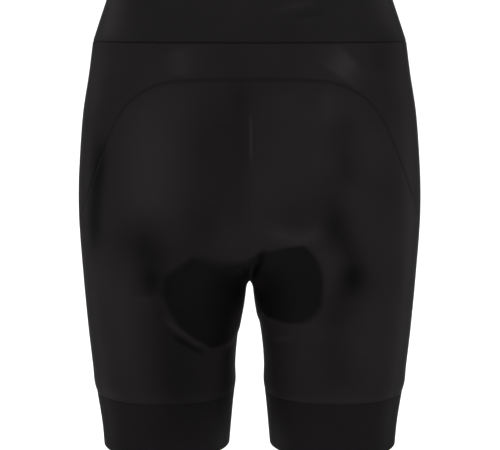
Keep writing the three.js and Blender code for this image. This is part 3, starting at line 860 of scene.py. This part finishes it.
def knit_group():
    """Loops: height = |sin(πu)| · (0.6 + 0.4 sin(2π(v + ½|sin(πu)|))), with u and v in loops"""
    group, given, made = new_group("knit_loops", [("Wale", 0.0006), ("Course", 0.0005)], ["Height"])
    grain = group.nodes.new("ShaderNodeUVMap")
    grain.uv_map = "grain"
    split = group.nodes.new("ShaderNodeSeparateXYZ")
    group.links.new(grain.outputs[0], split.inputs[0])
    across = math_node(group, "DIVIDE", split.outputs[0], given.outputs["Wale"])
    along = math_node(group, "DIVIDE", split.outputs[1], given.outputs["Course"])
    wave = math_node(group, "SINE", math_node(group, "MULTIPLY", across, math.pi))
    leg = math_node(group, "ABSOLUTE", wave)
    leaning = math_node(group, "ADD", along, math_node(group, "MULTIPLY", leg, 0.5))
    row = math_node(group, "SINE", math_node(group, "MULTIPLY", leaning, 2 * math.pi))
    height = math_node(group, "MULTIPLY", leg, math_node(group, "MULTIPLY_ADD", row, 0.4, 0.6))
    group.links.new(height, made.inputs["Height"])
    return group


def wear_group():
    """Slow uneven tone of dyed cloth: 0.5 + 0.4 · (soft noise in object coordinates − 0.5)"""
    group, given, made = new_group("cloth_tone", [("Scale", 14.0)], ["Tone"])
    coordinates = group.nodes.new("ShaderNodeTexCoord")
    noise = group.nodes.new("ShaderNodeTexNoise")
    noise.inputs["Detail"].default_value = 3.0
    group.links.new(coordinates.outputs["Object"], noise.inputs["Vector"])
    group.links.new(given.outputs["Scale"], noise.inputs["Scale"])
    tone = math_node(group, "MULTIPLY_ADD", noise.outputs["Fac"], 0.4, 0.3)
    group.links.new(tone, made.inputs["Tone"])
    return group


KNIT = knit_group()
WEAR = wear_group()
print("Shader groups:", KNIT.name, "and", WEAR.name)


# %% Cloth materials
# The colour over the pad: darker where the pad backs the cloth, and partly painted shade
OVER_PAD_AND_PAINTED_SHADE = (0.0033, 0.0028, 0.0030)
# The creases' tone is painted light and painted shade in the colour
CREASE_PAINTED_LIGHT_AND_SHADE = 0.8  # how much a crease's tone counts beside the slow noise
DARKEST = 0.15  # the colour's scale where the tone is zero
TONE_RANGE = 1.7
# A groove's darkening is painted shade
GROOVE_PAINTED_SHADE = 0.35  # the share of the colour that is left in a groove
SHINE = {"From Min": 0.5, "From Max": 0.75, "To Min": 0.05, "To Max": 0.012}
SHEEN_ROUGHNESS = 0.45
SHEEN_TINT = (1.0, 0.95, 0.97, 1)
LOOP_HEIGHT = 0.0001

# Name, colour, roughness, sheen, a loop's width and height in metres, and how strongly it shows
KNITS = (
    ("stretch_knit", (0.0112, 0.0096, 0.0101), 0.62, 0.0, 0.0006, 0.0005, 0.3),
    ("waistband_knit", (0.0102, 0.0092, 0.0098), 0.62, 0.0, 0.0006, 0.0005, 0.3),
    ("leg_band_knit", (0.0070, 0.0059, 0.0066), 0.7, 0.01, 0.0010, 0.0008, 0.4),
    ("pad_cloth", (0.011, 0.010, 0.0105), 0.85, 0.02, 0.0008, 0.0008, 0.5),
    ("thread", (0.006, 0.0055, 0.0058), 0.6, 0.0, 0.0020, 0.0012, 0.8),
)


def new_material(name):
    """A material, its node tree and its shader"""
    material = bpy.data.materials.new(name)
    material.use_nodes = True
    return material, material.node_tree, material.node_tree.nodes["Principled BSDF"]


def attribute(tree, name):
    """The fraction that a mesh stores at each point"""
    node = tree.nodes.new("ShaderNodeAttribute")
    node.attribute_name = name
    return node.outputs["Fac"]


def mixed(tree, share, first, second):
    """A colour between two, by a share"""
    node = tree.nodes.new("ShaderNodeMix")
    node.data_type = "RGBA"
    tree.links.new(share, node.inputs["Factor"])
    for socket, value in ((node.inputs[6], first), (node.inputs[7], second)):
        if isinstance(value, tuple):
            socket.default_value = (*value, 1)
        else:
            tree.links.new(value, socket)
    return node.outputs[2]


def toned_colour(tree, colour):
    """The colour · (0.15 + 1.7 · tone), the tone holding the creases' painted light and shade; over the
    pad the darker colour; painted shade in the grooves
    """
    tone = tree.nodes.new("ShaderNodeGroup")
    tone.node_tree = WEAR
    painted_light_and_shade = attribute(tree, "painted_light_and_shade")
    share = math_node(tree, "MULTIPLY_ADD", painted_light_and_shade, CREASE_PAINTED_LIGHT_AND_SHADE, tone.outputs["Tone"])
    share = math_node(tree, "MAXIMUM", share, 0.0)
    toned = tree.nodes.new("ShaderNodeVectorMath")
    toned.operation = "SCALE"
    tree.links.new(mixed(tree, attribute(tree, "over_pad"), colour, OVER_PAD_AND_PAINTED_SHADE), toned.inputs[0])
    tree.links.new(math_node(tree, "MULTIPLY_ADD", share, TONE_RANGE, DARKEST), toned.inputs["Scale"])
    in_groove = tuple(GROOVE_PAINTED_SHADE * channel for channel in colour)
    return mixed(tree, attribute(tree, "painted_groove_shade"), toned.outputs[0], in_groove)


def fading_shine(tree):
    """A reflection that falls off where the cloth turns away from the eye"""
    turning = tree.nodes.new("ShaderNodeLayerWeight")
    shine = tree.nodes.new("ShaderNodeMapRange")
    shine.interpolation_type = "SMOOTHSTEP"
    tree.links.new(turning.outputs["Facing"], shine.inputs["Value"])
    for label, value in SHINE.items():
        shine.inputs[label].default_value = value
    return shine.outputs["Result"]


def loop_normal(tree, wale, course, strength):
    """The surface's direction, bumped by the loops"""
    loops = tree.nodes.new("ShaderNodeGroup")
    loops.node_tree = KNIT
    loops.inputs["Wale"].default_value = wale
    loops.inputs["Course"].default_value = course
    bumped = tree.nodes.new("ShaderNodeBump")
    bumped.inputs["Strength"].default_value = strength
    bumped.inputs["Distance"].default_value = LOOP_HEIGHT
    tree.links.new(loops.outputs["Height"], bumped.inputs["Height"])
    return bumped.outputs["Normal"]


def cloth_material(name, colour, roughness, sheen, wale, course, bump):
    """Dyed knit, uneven in tone, with painted light and shade in its colour, and bumped by its loops"""
    material, tree, shader = new_material(name)
    shader.inputs["Roughness"].default_value = roughness
    shader.inputs["Sheen Weight"].default_value = sheen
    shader.inputs["Sheen Roughness"].default_value = SHEEN_ROUGHNESS
    shader.inputs["Sheen Tint"].default_value = SHEEN_TINT
    tree.links.new(toned_colour(tree, colour), shader.inputs["Base Color"])
    tree.links.new(fading_shine(tree), shader.inputs["Specular IOR Level"])
    tree.links.new(loop_normal(tree, wale, course, bump), shader.inputs["Normal"])
    return material


def dress(thing, slot_name, node=None, look=None):
    """Gives a piece its material, hangs it under the root, and hides the solid that it stands for"""
    thing.data.materials.append(MATERIALS[look or slot_name])
    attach(thing, "root")
    if node:
        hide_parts(node)
    return thing


MATERIALS = {name: cloth_material(name, *look) for name, *look in KNITS}
print("Materials:", len(MATERIALS))

# %% [markdown]
# ## The panels
#
# The front is one panel for each side, the seat and the back of a leg are another, and one arched
# piece runs up the side, over the back and down the other side.

# %% Front and back panels
STEP = 2.0
# About how long and wide each panel is in mm, which sets how many stations it gets
FRONT_SIZE = (400, 170)
BACK_SIZE = (360, 215)
YOKE_SIDE = 365
YOKE_TOP = 300
YOKE_WIDTH = 70
HANDS = (("left", 1), ("right", -1))

front_grid = front_places(*(stations(length, STEP) for length in FRONT_SIZE))
back_grid = back_places(*(stations(length, STEP) for length in BACK_SIZE))
FRONT_AND_BACK = (
    ("front", front_grid, {"top": WAIST, "left": CENTRE, "right": SIDE, "bottom": CUFF}),
    ("back", back_grid, {"top": ARCH, "left": ARCH, "right": CENTRE, "bottom": CUFF}),
)
for hand, left in HANDS:
    for part, grid, seams in FRONT_AND_BACK:
        name = f"{part}_panel_{hand}"
        cloth = cloth_panel(name, *grid, left, CLOTH_WALL, seams, over_pad=True)
        dress(cloth, "stretch_knit", f"{part}_{hand}")

# %% The yoke, in one piece over both sides
def whole_yoke():
    """The left half's places, then the same ones mirrored, with no seam at the centre back"""
    rows = stations(YOKE_SIDE, STEP), stations(YOKE_TOP, STEP)
    around, height = yoke_places(*rows, stations(YOKE_WIDTH, STEP))
    both_around = np.vstack([around, around[-2::-1]])
    both_height = np.vstack([height, height[-2::-1]])
    left = np.append(np.ones(len(around)), -np.ones(len(around) - 1))[:, None]
    return both_around, both_height, left


yoke_around, yoke_height, yoke_left = whole_yoke()
on_waist = np.isclose(yoke_height[:, :1], WAIST_SEAM).astype(float)
outer_seam = lerp(SIDE[:, None, None], WAIST[:, None, None], on_waist)
seams = {"left": outer_seam, "right": ARCH, "top": CUFF, "bottom": CUFF}
yoke = cloth_panel("back_yoke", yoke_around, yoke_height, yoke_left, CLOTH_WALL, seams)
dress(yoke, "stretch_knit", "hip_yoke")

# %% [markdown]
# ## The bands
#
# The waistband is one wide band folded at the top. The leg bands are tighter than the legs, so the
# cloth puffs out a little above them.

# %% Waistband and leg bands
BAND_STEP = 1.6
WAISTBAND_HEIGHT = 66  # these two are rounded up, and set how many stations a band gets
LEG_BAND_HEIGHT = 60
WAISTBAND_COLUMNS = 420
LEG_BAND_COLUMNS = 300


def waistband():
    """Round from the centre front over the left side to the centre back, and on over the right side"""
    turn = np.linspace(0, 2, WAISTBAND_COLUMNS, endpoint=False)
    around = np.where(turn <= 1, 2 * turn - 1, 3 - 2 * turn)
    left = np.where(turn <= 1, 1.0, -1.0)[None, :]
    rows = lerp(BAND_TOP, WAIST_SEAM, stations(WAISTBAND_HEIGHT, BAND_STEP))
    around, height = np.broadcast_arrays(around[None, :], rows[:, None])
    seams = {"bottom": WAIST}
    return cloth_panel("folded_waistband", around, height, left, WAISTBAND_WALL, seams, ("top",), True)


def leg_band(hand, left):
    """Round one leg from the inseam over the front, the outer side and the back"""
    around = np.linspace(-1, 1, LEG_BAND_COLUMNS, endpoint=False)
    rows = lerp(LEG_SEAM, HEM, stations(LEG_BAND_HEIGHT, BAND_STEP))
    around, height = np.broadcast_arrays(around[None, :], rows[:, None])
    name = f"leg_band_cloth_{hand}"
    return cloth_panel(name, around, height, left, LEG_BAND_WALL, {"top": CUFF}, ("bottom",), True)


dress(waistband(), "waistband_knit", "waistband")
for hand, left in HANDS:
    node = f"leg_band_{hand}"
    dress(leg_band(hand, left), "leg_band_knit", node)

# %% [markdown]
# ## The pad and the seam allowances
#
# The pad is foam under brushed cloth, thin at its sewn edge. Inside every seam runs the allowance, a
# narrow bound strip that also keeps light from shining through the seam.

# %% Seat pad
PAD_HALF_SIZE = (90, 100)  # about half the pad's width and length in mm, for the grain
PAD_ROWS = 121
PAD_COLUMNS = 46  # on each half


def seat_pad():
    """Thickness 2 + 7(1 − out⁴)(1 − end⁶) mm, below the cloth"""
    shares = np.linspace(0, 1, PAD_ROWS)
    out = np.linspace(0, 1, PAD_COLUMNS)
    ends = lerp(PAD_FRONT_END, PAD_BACK_END + PAD_WING_REACH * smooth(out)[None, :], shares[:, None])
    widths = follow(PAD_HALF_WIDTHS, 1, shares)[:, None] * out[None, :]
    half = walk_out(ends, widths)
    normals = facing(half)
    points = np.hstack([half[:, :0:-1] * (-1, 1, 1), half])
    normals = np.hstack([normals[:, :0:-1] * (-1, 1, 1), normals])
    across = np.linspace(-1, 1, points.shape[1])[None, :]
    end = (2 * shares - 1)[:, None]
    full = (1 - across**4) * (1 - end**6)
    thickness = lerp(PAD_EDGE_THICKNESS, PAD_THICKNESS, full)
    edge = np.min(list(edge_distances(points).values()), axis=0)
    rounded = turned_down(edge, PAD_EDGE_THICKNESS / 2, PAD_EDGE_THICKNESS / 2)
    rise, _ = patch(points)
    outer_depth = PAD_DEPTH + rounded - rise
    inner_depth = PAD_DEPTH + thickness - rounded - rise
    grain = np.stack(np.broadcast_arrays(across, end), -1) * PAD_HALF_SIZE / 1000
    masks = no_masks(points.shape[:2])
    return shell("shaped_pad", points, normals, grain, outer_depth, inner_depth, masks)


pad = dress(seat_pad(), "pad_cloth", "seat_pad")


# %% Seam allowances
ALLOWANCE_HALF = 3.0
ALLOWANCE_TOP = 1.35
ALLOWANCE_THICKNESS = 0.9
ALLOWANCE_SIDES = 12
ALLOWANCE_FLATNESS = 0.6  # the power that squares off the strip's oval section
GRAIN_STEP = 0.6  # mm of grain from side to side of the strip
SEAM_POINTS = 160
RING_POINTS = 200


def allowance(name, points, normals, closed):
    """A strip along a seam: point − normal · depth + across · width, with across = normal × run"""
    if closed:
        run = unit(np.roll(points, -1, axis=0) - np.roll(points, 1, axis=0))
    else:
        run = unit(np.gradient(points, axis=0))
    across = unit(np.cross(normals, run))
    turn = np.linspace(0, 2 * np.pi, ALLOWANCE_SIDES, endpoint=False)
    wide = np.sign(np.cos(turn)) * np.abs(np.cos(turn))**ALLOWANCE_FLATNESS * ALLOWANCE_HALF
    deep = ALLOWANCE_TOP + ALLOWANCE_THICKNESS / 2 * (1 - np.sin(turn))
    tube = points[:, None] + across[:, None] * wide[:, None] - normals[:, None] * deep[:, None]
    count, sides = tube.shape[:2]
    length = np.append(0, np.cumsum(np.linalg.norm(np.diff(points, axis=0), axis=1)))
    side_grain = np.arange(sides + 1)[None, :] * GRAIN_STEP
    grain = np.stack(np.broadcast_arrays(side_grain, length[:, None]), -1) / 1000
    _, row, column = grid_quads(count + closed, sides, True)
    quads = row % count * sides + column % sides
    uv = grain[row % count, column]
    layers = tube.reshape(-1, 3)
    if not closed:
        layers, quads, uv = with_ends(layers, quads, uv, count, sides)
    quads, uv = turned_out(layers, quads, uv)
    thing = make_mesh(name, layers, quads, uv, no_masks(len(layers)))
    return dress(thing, "stretch_knit", look="thread")


def with_ends(layers, quads, uv, count, sides):
    """Closes a tube's two ends with strips of four corners across each end"""
    ends = []
    for first, flip in ((0, 1), ((count - 1) * sides, -1)):
        k = np.arange(sides // 2 - 1)
        strip = np.stack([k, k + 1, sides - 2 - k, sides - 1 - k], -1)
        ends.append((first + strip)[:, ::flip])
    caps = np.vstack(ends)
    return layers, np.vstack([quads, caps]), np.vstack([uv, np.zeros((len(caps), 4, 2))])


def seam_strip(name, around, height, left=1, closed=False):
    """An allowance under a line of places"""
    points = place(around, height)
    normals = facing(points)
    return allowance(name, points * (left, 1, 1), normals * (left, 1, 1), closed)


def both_halves(around, height):
    """Points and normals of a line on the left and its mirror, joined at the centre"""
    points = place(around, height)
    normals = facing(points)
    flip = np.array((-1, 1, 1))
    return np.vstack([points, points[-2::-1] * flip]), np.vstack([normals, normals[-2::-1] * flip])


def all_allowances():
    """One strip for each seam"""
    fine = np.linspace(0, 1, SEAM_POINTS)
    made = [allowance("arch_seam", *both_halves(*on_arch(ARCH_LINE, fine).T), False)]
    ring = np.linspace(-1, 1, RING_POINTS)
    waist_points, waist_normals = both_halves(ring, np.full(RING_POINTS, WAIST_SEAM))
    made.append(allowance("waist_seam", waist_points[:-1], waist_normals[:-1], True))
    for name, top, side in (("front_rise", WAIST_SEAM, -1), ("back_rise", ARCH_SEAM[-1, 1], 1)):
        heights = centre_heights(top, side, fine)
        made.append(seam_strip(name, np.full(SEAM_POINTS, float(side)), heights))
    inseam = lerp(CROTCH, LEG_SEAM, fine)
    leg_ring = np.linspace(-1, 1, RING_POINTS, endpoint=False)
    leg_heights = np.full(RING_POINTS, LEG_SEAM)
    for hand, left in HANDS:
        made.append(seam_strip(f"inseam_{hand}", np.ones(SEAM_POINTS), inseam, left))
        made.append(seam_strip(f"side_front_{hand}", SIDE_AROUND, SIDE_HEIGHTS, left))
        made.append(seam_strip(f"leg_seam_{hand}", leg_ring, leg_heights, left, True))
    return made


allowances = all_allowances()
print("Seam allowances:", len(allowances))

# %% [markdown]
# ## How much cloth
#
# Stretch cloth is cut smaller than it is worn. Each panel is stated as the cloth it was cut from, lying
# flat and relaxed: its bounding rectangle and, where it isn't a rectangle, its own area.

# %% Cut sizes
# The rectangle that each piece is cut from, width by length, and the piece's flat area, in metres
CUTS = {
    "front_left": ((0.18, 0.36), 0.0456, ("front_rise", "side_front_left")),
    "front_right": ((0.18, 0.36), 0.0456, ("side_front_right",)),
    "back_left": ((0.215, 0.345), 0.0578, ("back_rise", "inseam_left")),
    "back_right": ((0.215, 0.345), 0.0578, ("inseam_right",)),
    "hip_yoke": ((0.52, 0.37), 0.0815, ("arch_seam",)),
    "waistband": ((0.70, 0.062), None, ("waist_seam",)),
    "leg_band_left": ((0.40, 0.055), None, ("leg_seam_left",)),
    "leg_band_right": ((0.40, 0.055), None, ("leg_seam_right",)),
}
for node, (flat, area, strips) in CUTS.items():
    print(node, "is cut from", flat, "m")

# %% [markdown]
# ## Stage, light and camera
#
# The shorts hang free over a pale floor that sweeps up behind them. Two soft boxes light the back from
# both sides and one lights the front. Two light the wall and one the floor. The pale room gives the
# bright edges.

# %% Stage
FLOOR = -1250.0
FLOOR_START = 5000.0
FLOOR_END = -2600.0
TURN_RADIUS = 1500.0
WALL_TOP = 4500.0
SWEEP_HALF_WIDTH = 6000.0


def pale_material(name, grey):
    """A plain matt material"""
    material, _, shader = new_material(name)
    shader.inputs["Base Color"].default_value = (grey, grey, grey, 1)
    shader.inputs["Roughness"].default_value = 0.9
    return material


def sweep():
    """A floor that turns up into a wall through a quarter circle: y − r sin t and z + r(1 − cos t)"""
    bend = np.linspace(0, math.pi / 2, 24)
    wall = FLOOR_END - TURN_RADIUS
    y = np.concatenate([[FLOOR_START], FLOOR_END - TURN_RADIUS * np.sin(bend), [wall]])
    z = np.concatenate([[FLOOR], FLOOR + TURN_RADIUS * (1 - np.cos(bend)), [WALL_TOP]])
    x = np.array([-SWEEP_HALF_WIDTH, SWEEP_HALF_WIDTH])
    points = np.stack(np.broadcast_arrays(x[None, :], y[:, None], z[:, None]), -1)
    quads, _, _ = grid_quads(len(y), 2, False)
    uv = np.zeros((len(quads), 4, 2))
    thing = make_mesh("pale_sweep", points.reshape(-1, 3), quads[:, ::-1], uv, {})
    thing.data.materials.append(pale_material("pale_floor", 0.85))


sweep()
print("The floor lies", -FLOOR, "mm below the waist")


# %% Light
MIDDLE = (0, 0, -0.22)
ROOM_STRENGTH = 0.5

# Name, place, the point it faces, width and height in metres, and watts
SOFT_BOXES = (
    ("box_left", (1.9, 1.85, 0.55), MIDDLE, (1.0, 1.8), 24),
    ("box_right", (-1.9, 1.85, 0.55), MIDDLE, (1.0, 1.8), 26),
    ("front_box", (0, -2.4, 1.5), MIDDLE, (2.0, 1.0), 40),
    ("wall_left", (1.9, -1.5, 1.0), (1.4, -4.1, 0.2), (1.5, 2.5), 50),
    ("wall_right", (-1.9, -1.5, 1.0), (-1.4, -4.1, 0.2), (1.5, 2.5), 50),
    ("floor_light", (0, -1.6, 3.4), (0, -2.2, -1.2), (3.0, 2.0), 32),
)


def aimed(name, data, place_m, aim_m):
    """A light or a camera at one point, turned to face another"""
    thing = bpy.data.objects.new(name, data)
    thing.location = place_m
    thing.rotation_euler = (Vector(aim_m) - Vector(place_m)).to_track_quat("-Z", "Y").to_euler()
    bpy.context.scene.collection.objects.link(thing)
    return thing


def soft_box(name, place_m, aim_m, size_m, watts):
    """An oblong area light that faces a point"""
    light = bpy.data.lights.new(name, "AREA")
    light.shape = "RECTANGLE"
    light.size, light.size_y = size_m
    light.energy = watts
    aimed(name, light, place_m, aim_m)


def pale_room(strength):
    """An even white surround"""
    world = bpy.data.worlds.new("pale_room")
    world.use_nodes = True
    background = world.node_tree.nodes["Background"]
    background.inputs["Color"].default_value = (1, 1, 1, 1)
    background.inputs["Strength"].default_value = strength
    bpy.context.scene.world = world


pale_room(ROOM_STRENGTH)
for box in SOFT_BOXES:
    soft_box(*box)
bpy.context.scene.view_settings.view_transform = "Standard"
print("Soft boxes:", len(SOFT_BOXES))

# %% Camera
CAMERA_DISTANCE = 1.9
CAMERA_RISE = math.radians(6.7)
AIM = Vector((-0.0004, 0, -0.2228))
SENSOR = 36.0
SEEN_WIDTH = 0.5225  # metres across the picture at the shorts

camera_data = bpy.data.cameras.new("camera")
camera_data.sensor_width = SENSOR
camera_data.lens = SENSOR * CAMERA_DISTANCE / SEEN_WIDTH
camera_way = Vector((0, math.cos(CAMERA_RISE), math.sin(CAMERA_RISE)))
bpy.context.scene.camera = aimed("camera", camera_data, AIM + CAMERA_DISTANCE * camera_way, AIM)
print("Lens:", round(camera_data.lens, 1), "mm")
